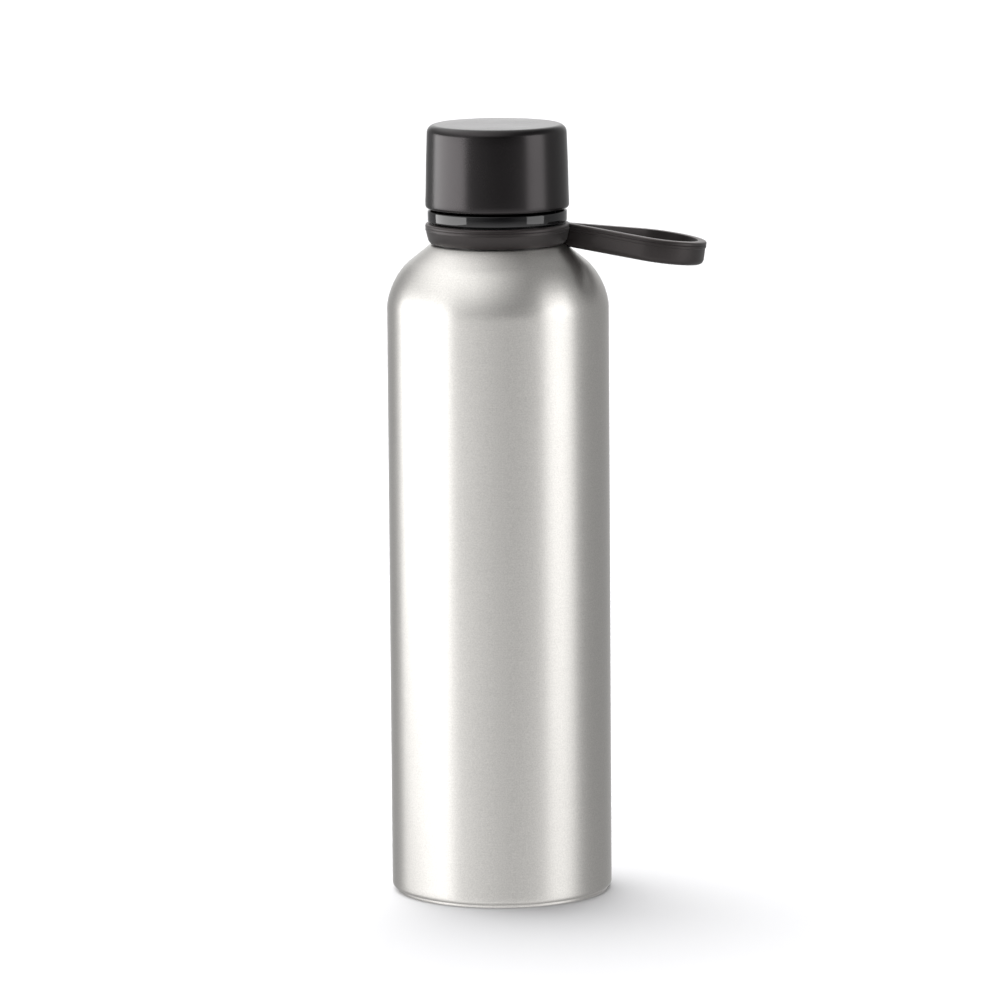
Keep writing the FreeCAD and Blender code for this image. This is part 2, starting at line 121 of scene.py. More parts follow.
def angle(label, degrees, note):
    """An angle that a user can change."""
    return FloatProperty(name=label, description=note, default=math.radians(degrees), subtype="ANGLE")


def colour(label, default, note):
    """A linear colour that a user can change."""
    return FloatVectorProperty(name=label, description=note, default=default, size=3, min=0, max=1,
                               subtype="COLOR")


# ---------------------------------------------------------------- what a user can change

class BottleSizes(bpy.types.PropertyGroup):
    """Sizes of the steel parts."""
    wall_radius: length("Wall radius", cad_radius("outer_shell"), "Outside of the straight wall")
    wall_sheet: length("Sheet", 0.5 * MM, "Thickness of the steel sheet")
    wall_foot: length("Wall foot", cad_foot("outer_shell"), "Height of the wall's rolled lower end")
    foot_round: length("Foot round", 1.5 * MM, "Radius of that rolled end")
    shelf_height: length("Shelf height", cad_foot("neck_collar"), "Flat shelf round the neck")
    shelf_radius: length("Shelf radius", 22.0 * MM, "Where the shoulder cone meets the shelf")
    shelf_round: length("Shelf round", 0.6 * MM, "Round between the cone and the shelf")
    shoulder_angle: angle("Shoulder angle", 38.7, "Slope of the shoulder cone below the horizontal")
    shoulder_round: length("Shoulder round", 20.0 * MM, "Blend between the wall and the cone")
    neck_radius: length("Neck radius", 18.4 * MM, "Outside of the steel neck")
    mouth_height: length("Mouth height", cad_top("inner_vessel"), "Top of the mouth rim")
    mouth_radius: length("Mouth radius", 16.9 * MM, "Inside of the mouth")
    liner_radius: length("Liner radius", cad_radius("inner_vessel"), "Outside of the inner vessel")
    liner_floor: length("Liner floor", cad_foot("inner_base"), "Underside of the inner vessel")
    foot_radius: length("Foot radius", cad_radius("outer_base"), "Outside of the foot ring")
    foot_width: length("Foot width", 1.5 * MM, "Width of the foot ring")
    pan_top: length("Pan top", cad_top("outer_base"), "Top of the base pan")


class CapSizes(bpy.types.PropertyGroup):
    """Sizes of the cap, the collar and the gasket."""
    radius: length("Cap radius", cad_radius("cap_shell"), "Widest radius of the cap, near its lower edge")
    foot: length("Cap foot", cad_foot("cap_shell"), "Height of the cap's lower edge")
    top: length("Cap top", cad_top("cap_shell"), "Height of the cap's top")
    taper: length("Cap taper", 0.75 * MM, "How much the cap narrows to its top")
    top_round: length("Top round", 2.6 * MM, "Round of the top edge")
    foot_round: length("Foot round", 1.1 * MM, "Round of the lower edge")
    bore: length("Cap bore", 22.1 * MM, "Inside of the cap shell")
    flange_radius: length("Flange radius", 22.95 * MM, "Outside of the glossy flange")
    flange_foot: length("Flange foot", 223.0 * MM, "Underside of the flange")
    flange_top: length("Flange top", 226.9 * MM, "Top of the flange")
    seat_radius: length("Seat radius", 20.6 * MM, "Collar where the strap turns on it")
    thread_root: length("Thread root", 19.9 * MM, "Collar behind its thread")
    thread_depth: length("Thread depth", 1.0 * MM, "How far a ridge stands out")
    thread_foot: length("Thread foot", 231.0 * MM, "Lower end of the collar's thread")
    thread_lead: length("Thread lead", 9.0 * MM, "Rise in one turn")
    thread_gap: length("Thread gap", 0.3 * MM, "Clearance between the threads")
    thread_starts: IntProperty(name="Thread starts", description="Ridges side by side", default=3, min=1)


class StrapSizes(bpy.types.PropertyGroup):
    """Sizes of the silicone carry strap."""
    ring_inside: length("Ring inside", 20.9 * MM, "Bore of the ring")
    ring_outside: length("Ring outside", cad_radius("strap_ring"), "Outside of the ring at its bead")
    ring_foot: length("Ring foot", cad_foot("strap_ring"), "Lower edge of the ring")
    ring_top: length("Ring top", cad_top("strap_ring"), "Upper edge of the ring")
    ring_lean: length("Ring lean", 1.6 * MM, "How far the ring's face leans in at its foot")
    bead_height: length("Bead height", 2.3 * MM, "Height of the bead along the upper edge")
    bead_depth: length("Bead depth", 0.2 * MM, "How far the bead stands out")
    line_height: length("Line height", 1.25 * MM, "Fine moulding line, below the upper edge")
    line_depth: length("Line depth", 0.14 * MM, "Depth of that line")
    band_height: length("Band height", 7.8 * MM, "Height of the loop's band")
    band_thickness: length("Band thickness", 2.8 * MM, "Thickness of the loop's band")
    loop_centre: length("Loop centre", 53.5 * MM, "From the axis to the centre of the loop's end")
    loop_radius: length("Loop radius", 15.0 * MM, "Outside of the loop's end")
    loop_slope: angle("Loop slope", 8.0, "How far the loop droops")
    flex_reach: length("Flex reach", 27.75 * MM, "From the axis to the line where the loop flexes")
    flex_height: length("Flex height", 217.7 * MM, "Height of that line")


class Finishes(bpy.types.PropertyGroup):
    """Colours of the finishes."""
    steel: colour("Steel", (0.66, 0.645, 0.62), "Brushed steel")
    liner: colour("Liner", (0.56, 0.55, 0.53), "Steel inside the bottle")
    cap: colour("Cap", (0.0024, 0.0020, 0.0021), "Soft-touch cap")
    collar: colour("Collar", (0.0035, 0.0035, 0.0042), "Glossy collar")
    strap: colour("Strap", (0.0125, 0.0098, 0.0094), "Silicone strap")
    gasket: colour("Gasket", (0.42, 0.42, 0.41), "Silicone gasket")
    foam: colour("Foam", (0.74, 0.72, 0.66), "Foam in the cap")
    floor: colour("Floor", (0.66, 0.66, 0.67), "Studio floor")


class StudioSettings(bpy.types.PropertyGroup):
    """Camera and lights."""
    camera_distance: length("Camera distance", 2.264, "From the bottle's axis to the camera")
    camera_height: length("Camera height", 0.4806, "Camera above the floor")
    camera_pitch: angle("Camera pitch", 8.797, "How far the camera looks down")
    camera_roll: angle("Camera roll", -0.42, "Small roll of the camera")
    lens: FloatProperty(name="Lens", description="Focal length in millimetres", default=249.5, min=1)
    side_light: FloatProperty(name="Side light", description="Radiance of the left softbox", default=4.0)
    strip_light: FloatProperty(name="Strip light", description="Radiance of the right strip", default=2.3)
    overhead: FloatProperty(name="Ceiling", description="Radiance overhead", default=1.25)
    scrim: FloatProperty(name="Scrim", description="Strength of the soft light on the floor", default=3.6)


# ---------------------------------------------------------------- shader maths

class Signal:
    """A shader socket that takes part in arithmetic."""

    def __init__(self, shading, socket):
        self.shading = shading
        self.socket = socket

    def also(self, output):
        """Another output of the same node."""
        return Signal(self.shading, self.socket.node.outputs[output])

    def maths(self, operation, first, second):
        return self.shading.node("ShaderNodeMath", {"operation": operation}, {0: first, 1: second})

    def __add__(self, other):
        return self.maths("ADD", self, other)

    __radd__ = __add__

    def __sub__(self, other):
        return self.maths("SUBTRACT", self, other)

    def __rsub__(self, other):
        return self.maths("SUBTRACT", other, self)

    def __mul__(self, other):
        return self.maths("MULTIPLY", self, other)

    __rmul__ = __mul__

    def __truediv__(self, other):
        return self.maths("DIVIDE", self, other)


class Shading:
    """A node tree being built, with one way to add any node."""

    def __init__(self, tree):
        self.tree = tree

    def feed(self, socket, value):
        if isinstance(value, Signal):
            self.tree.links.new(value.socket, socket)
        else:
            socket.default_value = value

    def node(self, kind, settings=None, values=None, output=0):
        """Add any node: its settings first, then the values or links of its sockets."""
        node = self.tree.nodes.new(kind)
        for name, setting in (settings or {}).items():
            if name == "stops":
                self.set_stops(node.color_ramp, setting)
            else:
                setattr(node, name, setting)
        for socket, value in (values or {}).items():
            self.feed(node.inputs[socket], value)
        return Signal(self, node.outputs[output])

    def set_stops(self, ramp, stops):
        for element, (place, shade) in zip(ramp.elements, (stops[0], stops[-1])):
            element.position = place
            element.color = (shade, shade, shade, 1)
        for place, shade in stops[1:-1]:
            ramp.elements.new(place).color = (shade, shade, shade, 1)

    def ramp(self, signal, stops):
        """A grey ramp over a signal."""
        return self.node("ShaderNodeValToRGB", {"stops": stops}, {"Fac": signal})

    def round_the_room(self, vector):
        """Brightness of the room by bearing: softly lit in front, dim at the sides, bright behind."""
        across = self.node("ShaderNodeSeparateXYZ", values={0: vector})
        bearing = across.maths("ARCTAN2", across, across.also("Y") * -1)
        stops = [((degrees + 180) / 360, light / ROOM_PEAK) for degrees, light in ROOM_LIGHT]
        return self.ramp(bearing / math.tau + 0.5, stops) * ROOM_PEAK


class Finish(Shading):
    """A material being made, with its shader."""

    def __init__(self, name, constants):
        self.material = bpy.data.materials.new(name)
        self.material.use_nodes = True
        super().__init__(self.material.node_tree)
        self.shader = self.tree.nodes["Principled BSDF"]
        for socket, value in constants.items():
            self.feed(self.shader.inputs[socket], value)

    def place(self):
        """Object coordinates, which are the bottle's own frame in metres."""
        return self.node("ShaderNodeTexCoord", output="Object")

    def noise(self, scale, detail=2.0, stretch=(1, 1, 1)):
        """Noise whose scale is in grains per metre, pressed together along an axis by stretch."""
        squeezed = self.node("ShaderNodeMapping", values={"Vector": self.place(), "Scale": stretch})
        return self.node("ShaderNodeTexNoise", {"noise_dimensions": "3D"},
                         {"Vector": squeezed, "Scale": scale, "Detail": detail, "Roughness": 0.55})

    def mix(self, share, first, second):
        """Mix two colours by a share."""
        return self.node("ShaderNodeMix", {"data_type": "RGBA"}, {"Factor": share, "A": first, "B": second},
                         output="Result")

    def relief(self, height, depth, strength=1.0, under=None):
        """A bump of a depth in metres, over another if one is given."""
        values = {"Height": height, "Distance": depth, "Strength": strength}
        if under is not None:
            values["Normal"] = under
        return self.node("ShaderNodeBump", values=values)

    def set(self, socket, signal):
        self.feed(self.shader.inputs[socket], signal)


def shade_of(rgb, factor):
    """A colour with alpha, lightened or darkened by a factor."""
    return tuple(min(1.0, channel * factor) for channel in rgb) + (1.0,)


def vary(finish, signal, rgb, low, high):
    """Base colour that drifts between two shades of a colour as the signal goes from 0 to 1."""
    finish.set("Base Color", finish.mix(signal, shade_of(rgb, low), shade_of(rgb, high)))


# ---------------------------------------------------------------- finishes

def brushed_steel(name, rgb, roughness, stretch=0.72):
    """Satin steel brushed round the axis: long fine lines, a speckle of grain and faint handling marks."""
    finish = Finish(name, {"Metallic": 1.0, "Anisotropic": stretch, "Anisotropic Rotation": 0.25})
    lines = finish.noise(1.0, 3.0, (90, 90, 5200))
    fine_lines = finish.noise(1.0, 2.0, (260, 260, 11000))
    grain = (finish.noise(2300, 1.0) - 0.5) * 2.0 + 0.5
    clouds = finish.noise(38, 2.0, (1, 1, 0.6))
    vary(finish, lines * 0.35 + grain * 0.5 + clouds * 0.15, rgb, 0.82, 1.18)
    finish.set("Roughness", lines * 0.07 + clouds * 0.06 + (roughness - 0.065))
    brushing = finish.relief(lines + fine_lines, 1e-5, 0.6)
    finish.set("Normal", finish.relief(grain, 2e-5, 0.6, brushing))
    return finish.material


def spun_steel(name, rgb, roughness):
    """Steel with fine turning rings about the axis, for flat discs."""
    finish = Finish(name, {"Metallic": 1.0, "Anisotropic": 0.5})
    place = finish.place()
    radius = finish.node("ShaderNodeVectorMath", {"operation": "LENGTH"}, {0: finish.node(
        "ShaderNodeVectorMath", {"operation": "MULTIPLY"}, {0: place, 1: (1, 1, 0)})}, output="Value")
    rings = finish.node("ShaderNodeTexNoise", {"noise_dimensions": "1D"}, {"W": radius * 4200, "Scale": 1.0})
    grain = finish.noise(2600, 1.0)
    vary(finish, rings * 0.6 + grain * 0.4, rgb, 0.88, 1.08)
    finish.set("Roughness", rings * 0.1 + (roughness - 0.05))
    finish.set("Normal", finish.relief(rings, 8e-6, 0.6))
    return finish.material


def soft_touch(name, rgb):
    """Satin soft-touch plastic: an even haze, a micro texture and faint handling smudges."""
    finish = Finish(name, {"Specular IOR Level": 0.46, "Specular Tint": (1.0, 0.93, 0.95, 1.0)})
    haze = finish.noise(2400, 2.0)
    smudges = finish.noise(60, 3.0, (1, 1, 0.7))
    vary(finish, smudges * 0.6 + haze * 0.4, rgb, 0.75, 1.3)
    finish.set("Roughness", smudges * 0.08 + haze * 0.03 + 0.205)
    finish.set("Normal", finish.relief(haze, 4e-6, 0.4))
    return finish.material


def polished_plastic(name, rgb):
    """Polished black plastic with a trace of haze."""
    finish = Finish(name, {"Specular IOR Level": 0.5})
    haze = finish.noise(140, 3.0, (1, 1, 2.5))
    dust_and_sheen = finish.noise(5200, 1.0)
    vary(finish, haze, rgb, 0.8, 1.2)
    finish.set("Roughness", haze * 0.05 + dust_and_sheen * 0.02 + 0.015)
    finish.set("Normal", finish.relief(haze, 6e-6, 0.25))
    return finish.material


def silicone(name, rgb, roughness=0.42):
    """Matte silicone: a fine skin, top faces lightened partly by lint and partly by a painted highlight, and
    a slow drift of tone.
    """
    finish = Finish(name, {"Specular IOR Level": 0.5, "Specular Tint": (1.0, 0.92, 0.92, 1.0),
                           "Sheen Weight": 0.1, "Sheen Roughness": 0.5})
    skin = finish.noise(1900, 2.0)
    drift = finish.noise(110, 3.0)
    # Painted highlight with lint: faces that point up are lightened, as light from above would catch the top
    # edges.
    facing = finish.node("ShaderNodeSeparateXYZ", values={0: finish.node(
        "ShaderNodeNewGeometry", output="Normal")}, output="Z")
    dust_and_sheen = finish.ramp(facing + drift * 0.3, [(0.45, 0.0), (1.0, 1.0)])
    body = finish.mix(drift * 0.5 + skin * 0.5, shade_of(rgb, 0.6), shade_of(rgb, 1.15))
    # Painted highlight: the up-facing share pulls the colour towards a tone 3.4 times lighter.
    finish.set("Base Color", finish.mix(dust_and_sheen * 0.7, body, shade_of(rgb, 3.4)))
    finish.set("Roughness", drift * 0.08 + skin * 0.06 + (roughness - 0.07))
    finish.set("Normal", finish.relief(skin, 2.4e-5, 0.6))
    return finish.material


def moulded_plastic(name, rgb, roughness=0.42):
    """Plain satin moulding for the hidden plastic parts."""
    finish = Finish(name, {})
    skin = finish.noise(1800, 2.0)
    drift = finish.noise(90, 2.0)
    vary(finish, drift, rgb, 0.8, 1.25)
    finish.set("Roughness", skin * 0.08 + (roughness - 0.04))
    finish.set("Normal", finish.relief(skin, 8e-6, 0.4))
    return finish.material


def closed_cell_foam(name, rgb):
    """Pale foam with fine cells."""
    finish = Finish(name, {"Roughness": 0.9})
    cells = finish.node("ShaderNodeTexVoronoi", values={"Vector": finish.place(), "Scale": 2200})
    vary(finish, cells, rgb, 0.85, 1.05)
    finish.set("Normal", finish.relief(cells, 6e-5, 0.8))
    return finish.material


def solder(name):
    """Dull solder bead."""
    finish = Finish(name, {"Metallic": 1.0})
    ripple = finish.noise(900, 3.0)
    vary(finish, ripple, (0.42, 0.42, 0.43), 0.8, 1.1)
    finish.set("Roughness", ripple * 0.2 + 0.3)
    finish.set("Normal", finish.relief(ripple, 6e-5, 0.7))
    return finish.material


def studio_floor(name, rgb):
    """Plain pale matt floor."""
    finish = Finish(name, {"Roughness": 0.9, "Specular IOR Level": 0.0})
    finish.set("Base Color", shade_of(rgb, 1.0))
    return finish.material


# ---------------------------------------------------------------- modelling by hand, in code

def deselect():
    if bpy.context.object and bpy.context.object.mode != "OBJECT":
        bpy.ops.object.mode_set(mode="OBJECT")
    bpy.ops.object.select_all(action="DESELECT")


def pick(piece):
    """Select one piece alone and make it active."""
    deselect()
    piece.select_set(True)
    bpy.context.view_layer.objects.active = piece


def face_outwards(inside=False):
    """Turn every face of the piece in edit mode outwards, or inwards, and leave edit mode."""
    bpy.ops.mesh.select_all(action="SELECT")
    bpy.ops.mesh.normals_make_consistent(inside=inside)
    bpy.ops.object.mode_set(mode="OBJECT")


def select_rim(piece):
    """Select the edges round the openings of the piece in edit mode.

    On a turned piece the rim's vertices are left unselected, so steps that carry or merge them do nothing.
    """
    mesh = bmesh.from_edit_mesh(piece.data)
    for edge in mesh.edges:
        edge.select_set(len(edge.link_faces) == 1)
    bmesh.update_edit_mesh(piece.data)


def start_circle(name, radius, height, sides=SIDES):
    """Add the first ring of a turned piece and stay in edit mode with it selected."""
    deselect()
    bpy.ops.mesh.primitive_circle_add(vertices=sides, radius=radius)
    piece = bpy.context.object
    piece.name = name
    piece.data.name = name
    bpy.ops.object.mode_set(mode="EDIT")
    bpy.ops.mesh.select_all(action="SELECT")
    bpy.ops.transform.translate(value=(0, 0, height))
    return piece


def carry_ring(here, there):
    """Extrude the selected ring from one (radius, height) to the next."""
    bpy.ops.mesh.extrude_region_move(TRANSFORM_OT_translate={"value": (0, 0, there[1] - here[1])})
    share = there[0] / here[0]
    bpy.ops.transform.resize(value=(share, share, 1), center_override=(0, 0, there[1]))


def turn(name, corners, closed=True, sides=SIDES):
    """Turn a profile of (radius, height) corners; a radius of 0 closes the piece on the axis."""
    piece = start_circle(name, *corners[0], sides)
    loop = corners[1:] + (corners[:1] if closed else [])
    here = corners[0]
    for there in loop:
        if there[0] == 0:
            close_on_axis(here, there)
        else:
            carry_ring(here, there)
        here = there
    bpy.ops.mesh.select_all(action="SELECT")
    bpy.ops.mesh.remove_doubles(threshold=SAME_PLACE)
    face_outwards()
    return piece


def close_on_axis(here, there):
    """Draw the selected ring together on the axis."""
    bpy.ops.mesh.extrude_region_move(TRANSFORM_OT_translate={"value": (0, 0, there[1] - here[1])})
    bpy.ops.mesh.merge(type="CENTER")


def edit(piece):
    """Enter edit mode on one piece with nothing selected, and give its bmesh."""
    pick(piece)
    bpy.ops.object.mode_set(mode="EDIT")
    bpy.ops.mesh.select_all(action="DESELECT")
    return bmesh.from_edit_mesh(piece.data)


def round_ring(piece, radius, height, width, segments):
    """Bevel the ring of edges at one (radius, height), by a width measured along its faces."""
    mesh = edit(piece)

    def on_ring(vertex):
        off = max(abs(math.hypot(vertex.co.x, vertex.co.y) - radius), abs(vertex.co.z - height))
        return off < ON_RING
    found = 0
    for edge in mesh.edges:
        edge.select_set(all(on_ring(vertex) for vertex in edge.verts))
        found += edge.select
    if not found:
        raise RuntimeError("%s has no ring at %.5f, %.5f" % (piece.name, radius, height))
    bmesh.update_edit_mesh(piece.data)
    bpy.ops.mesh.select_mode(type="EDGE")
    bpy.ops.mesh.bevel(offset=width, offset_type="OFFSET", segments=segments, profile=0.5, affect="EDGES",
                       clamp_overlap=False)
    bpy.ops.mesh.select_mode(type="VERT")
    bpy.ops.object.mode_set(mode="OBJECT")


def apply_modifier(piece, kind, settings):
    """Add a modifier and apply it at once."""
    pick(piece)
    modifier = piece.modifiers.new(kind.title(), kind)
    for name, setting in settings.items():
        setattr(modifier, name, setting)
    bpy.ops.object.modifier_apply(modifier=modifier.name)


def smooth(piece):
    """Shade smooth, with the sharper edges kept."""
    pick(piece)
    bpy.ops.object.shade_smooth_by_angle(angle=SMOOTH_ANGLE)


def dress(piece, material, slot, body, *nodes):
    """Give a finished piece its material and its body, and hide the CAD nodes it stands for; the slot
    argument is not used.
    """
    smooth(piece)
    piece.data.materials.clear()
    piece.data.materials.append(material)
    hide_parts(*nodes)
    if body:
        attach(piece, body)


def join(pieces):
    """Join pieces into the first."""
    deselect()
    for piece in pieces:
        piece.select_set(True)
    bpy.context.view_layer.objects.active = pieces[0]
    bpy.ops.object.join()
    return pieces[0]


def helical_ridge(name, inside, outside, foot_half, tip_half, height, lead, rise):
    """A closed trapezoid ridge that climbs about the axis."""
    deselect()
    bpy.ops.mesh.primitive_plane_add(size=1)
    ridge = bpy.context.object
    ridge.name = name
    bpy.ops.object.mode_set(mode="EDIT")
    bpy.ops.mesh.select_all(action="SELECT")
    bpy.ops.transform.resize(value=(abs(outside - inside), 2 * foot_half, 1), center_override=(0, 0, 0))
    bpy.ops.transform.rotate(value=math.pi / 2, orient_axis="X", center_override=(0, 0, 0))
    bpy.ops.transform.translate(value=((inside + outside) / 2, 0, height))
    mesh = bmesh.from_edit_mesh(ridge.data)
    for vertex in mesh.verts:
        vertex.select_set(abs(vertex.co.x - outside) < SAME_PLACE)
    bmesh.update_edit_mesh(ridge.data)
    share = tip_half / foot_half
    bpy.ops.transform.resize(value=(1, 1, share), center_override=(outside, 0, height))
    bpy.ops.mesh.select_all(action="SELECT")
    bpy.ops.mesh.delete(type="ONLY_FACE")
    bpy.ops.object.mode_set(mode="OBJECT")
    turns = rise / lead
    steps = max(8, round(turns * THREAD_STEPS))
    apply_modifier(ridge, "SCREW", {"angle": turns * math.tau, "screw_offset": rise, "steps": steps,
                                    "render_steps": steps, "use_normal_calculate": True,
                                    "use_merge_vertices": False})
    edit(ridge)
    select_rim(ridge)
    bpy.ops.mesh.edge_face_add()
    face_outwards()
    return ridge


def thread(name, starts, **shape):
    """Ridges side by side, each turned on from the last."""
    ridges = []
    for start in range(starts):
        ridge = helical_ridge("%s_%d" % (name, start), **shape)
        edit(ridge)
        bpy.ops.mesh.select_all(action="SELECT")
        bpy.ops.transform.rotate(value=math.tau * start / starts, orient_axis="Z", center_override=(0, 0, 0))
        bpy.ops.object.mode_set(mode="OBJECT")
        ridges.append(ridge)
    return join(ridges)


# ---------------------------------------------------------------- pieces

class BOTTLE_OT_wall(bpy.types.Operator):
    """Turn the outer wall with its shoulder and neck, and give it the thickness of its sheet"""
    bl_idname = "bottle.wall"
    bl_label = "Wall"

    def execute(self, context):
        sizes = context.scene.bottle_sizes
        slope = math.tan(sizes.shoulder_angle)
        corner = sizes.shelf_height - (sizes.wall_radius - sizes.shelf_radius) * slope
        blend = sizes.shoulder_round * math.tan((math.pi / 2 - sizes.shoulder_angle) / 2)
        foot = sizes.wall_foot + sizes.foot_round
        guard = 1.5 * MM
        tuck = 0.9 * MM
        below_mouth = 0.7 * MM
        wall = turn("bottle_wall", [
            (sizes.foot_radius - tuck, sizes.wall_foot),
            (sizes.wall_radius, sizes.wall_foot),
            (sizes.wall_radius, foot + guard),
            (sizes.wall_radius, corner - blend - guard),
            (sizes.wall_radius, corner),
            (sizes.shelf_radius, sizes.shelf_height),
            (sizes.neck_radius, sizes.shelf_height),
            (sizes.neck_radius, sizes.mouth_height - below_mouth),
        ], closed=False)
        round_ring(wall, sizes.wall_radius, corner, blend, 24)
        round_ring(wall, sizes.wall_radius, sizes.wall_foot, sizes.foot_round, 8)
        round_ring(wall, sizes.shelf_radius, sizes.shelf_height, sizes.shelf_round, 5)
        round_ring(wall, sizes.neck_radius, sizes.shelf_height, 0.6 * MM, 5)
        apply_modifier(wall, "SOLIDIFY", {"thickness": sizes.wall_sheet, "offset": -1,
                                          "use_even_offset": True})
        finish = brushed_steel("brushed_steel_wall", context.scene.bottle_finishes.steel, 0.40)
        dress(wall, finish, "steel", "bottle", "outer_shell")
        return {"FINISHED"}


class BOTTLE_OT_base(bpy.types.Operator):
    """Turn the base pan with its foot ring, and the disc pressed into it"""
    bl_idname = "bottle.base"
    bl_label = "Base"

    def execute(self, context):
        sizes = context.scene.bottle_sizes
        inside = sizes.foot_radius - sizes.foot_width
        sheet = 0.6 * MM
        hole = 1.6 * MM
        pan = turn("base_pan", [
            (inside, 0),
            (sizes.foot_radius, 0),
            (sizes.foot_radius, sizes.wall_foot),
            (inside + sheet, sizes.wall_foot),
            (inside + sheet, sizes.pan_top),
            (hole, sizes.pan_top),
            (hole, sizes.pan_top - sheet),
            (inside, sizes.pan_top - sheet),
        ])
        round_ring(pan, sizes.foot_radius, 0, 0.35 * MM, 4)
        round_ring(pan, inside, 0, 0.35 * MM, 4)
        steel = context.scene.bottle_finishes.steel
        dress(pan, brushed_steel("brushed_steel_foot", steel, 0.34), "steel", "bottle", "outer_base")

        low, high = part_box("base_cover")
        radius = high.x
        cover = turn("base_disc", [
            (radius, low.z),
            (radius, high.z),
            (4 * MM, high.z),
            (0, high.z),
        ], closed=False)
        edit(cover)
        self.close_underside(cover, radius, low.z)
        dress(cover, spun_steel("spun_steel_disc", steel, 0.36), "steel", "bottle", "base_cover")
        return {"FINISHED"}

    def close_underside(self, cover, radius, height):
        """Meant to close the underside with a rim, a dish and a middle; see select_rim: it stays open."""
        step = 0.25 * MM
        select_rim(cover)
        here = (radius, height)
        for there in (
            (radius - 2.5 * MM, height),
            (radius - 3.2 * MM, height + step),
            (14.0 * MM, height + step),
            (13.4 * MM, height),
            (0.4 * MM, height),
        ):
            carry_ring(here, there)
            here = there
        bpy.ops.mesh.merge(type="CENTER")
        face_outwards()


class BOTTLE_OT_liner(bpy.types.Operator):
    """Turn the inner vessel: its rim lip, neck, shoulder, wall, weld seam and floor"""
    bl_idname = "bottle.liner"
    bl_label = "Liner"

    def execute(self, context):
        sizes = context.scene.bottle_sizes
        half = sizes.shoulder_angle / 2
        slope = math.tan(sizes.shoulder_angle)
        gap = sizes.wall_radius - sizes.liner_radius
        shelf = sizes.shelf_height - gap
        shelf_radius = sizes.shelf_radius - gap * math.tan(half)
        corner = shelf - (sizes.liner_radius - shelf_radius) * slope
        blend = (sizes.shoulder_round - gap) * math.tan((math.pi / 2 - sizes.shoulder_angle) / 2)
        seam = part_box("inner_vessel")[0].z
        lip, weld = 0.6 * MM, 0.8 * MM
        sheet = sizes.wall_sheet
        inside = sizes.liner_radius - sheet
        floor = sizes.liner_floor + sheet
        middle = sizes.liner_floor + 2.4 * sheet
        liner = turn("liner", [
            (sizes.neck_radius, sizes.mouth_height - lip),
            (sizes.neck_radius, sizes.mouth_height),
            (sizes.mouth_radius, sizes.mouth_height),
            (sizes.mouth_radius, shelf - sheet),
            (shelf_radius, shelf - sheet),
            (inside, corner),
            (inside, seam + weld),
            (inside - 0.3 * sheet, seam),
            (inside, seam - weld),
            (inside, floor),
            (12.0 * MM, floor),
            (10.0 * MM, middle),
            (0, middle),
        ], closed=False)
        round_ring(liner, inside, corner, blend, 14)
        round_ring(liner, inside, floor, 5.5 * MM, 8)
        round_ring(liner, sizes.mouth_radius, sizes.mouth_height, 0.3 * MM, 4)
        round_ring(liner, sizes.neck_radius, sizes.mouth_height, 0.25 * MM, 4)
        edit(liner)
        face_outwards(inside=True)
        apply_modifier(liner, "SOLIDIFY", {"thickness": 0.45 * MM, "offset": -1, "use_even_offset": False})
        finish = brushed_steel("brushed_steel_liner", context.scene.bottle_finishes.liner, 0.34, 0.5)
        dress(liner, finish, "steel", "bottle", "inner_vessel", "inner_base")
        return {"FINISHED"}


class BOTTLE_OT_collar(bpy.types.Operator):
    """Turn the collar with its strap seat and glossy flange, and wind its thread"""
    bl_idname = "bottle.collar"
    bl_label = "Collar"

    def execute(self, context):
        sizes = context.scene.bottle_sizes
        cap = context.scene.bottle_cap
        bore = sizes.neck_radius + 0.1 * MM
        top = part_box("neck_collar")[1].z
        collar = turn("neck_collar_moulding", [
            (bore, sizes.shelf_height),
            (cap.seat_radius, sizes.shelf_height),
            (cap.seat_radius, cap.flange_foot),
            (cap.flange_radius, cap.flange_foot),
            (cap.flange_radius, cap.flange_top),
            (cap.thread_root, cap.flange_top),
            (cap.thread_root, top),
            (bore, top),
        ])
        round_ring(collar, cap.flange_radius, cap.flange_foot, 0.7 * MM, 6)
        round_ring(collar, cap.flange_radius, cap.flange_top, 0.45 * MM, 5)
        round_ring(collar, cap.thread_root, cap.flange_top, 0.4 * MM, 4)
        round_ring(collar, cap.thread_root, top, 0.5 * MM, 4)
        ridges = thread("collar_ridge", cap.thread_starts, inside=cap.thread_root - RIDGE_ROOT,
                        outside=cap.thread_root + cap.thread_depth, foot_half=RIDGE_FOOT, tip_half=RIDGE_TIP,
                        height=cap.thread_foot, lead=cap.thread_lead, rise=9.0 * MM)
        collar = join([collar, ridges])
        finish = polished_plastic("polished_black", context.scene.bottle_finishes.collar)
        dress(collar, finish, "gloss_black", "bottle", "neck_collar")
        return {"FINISHED"}


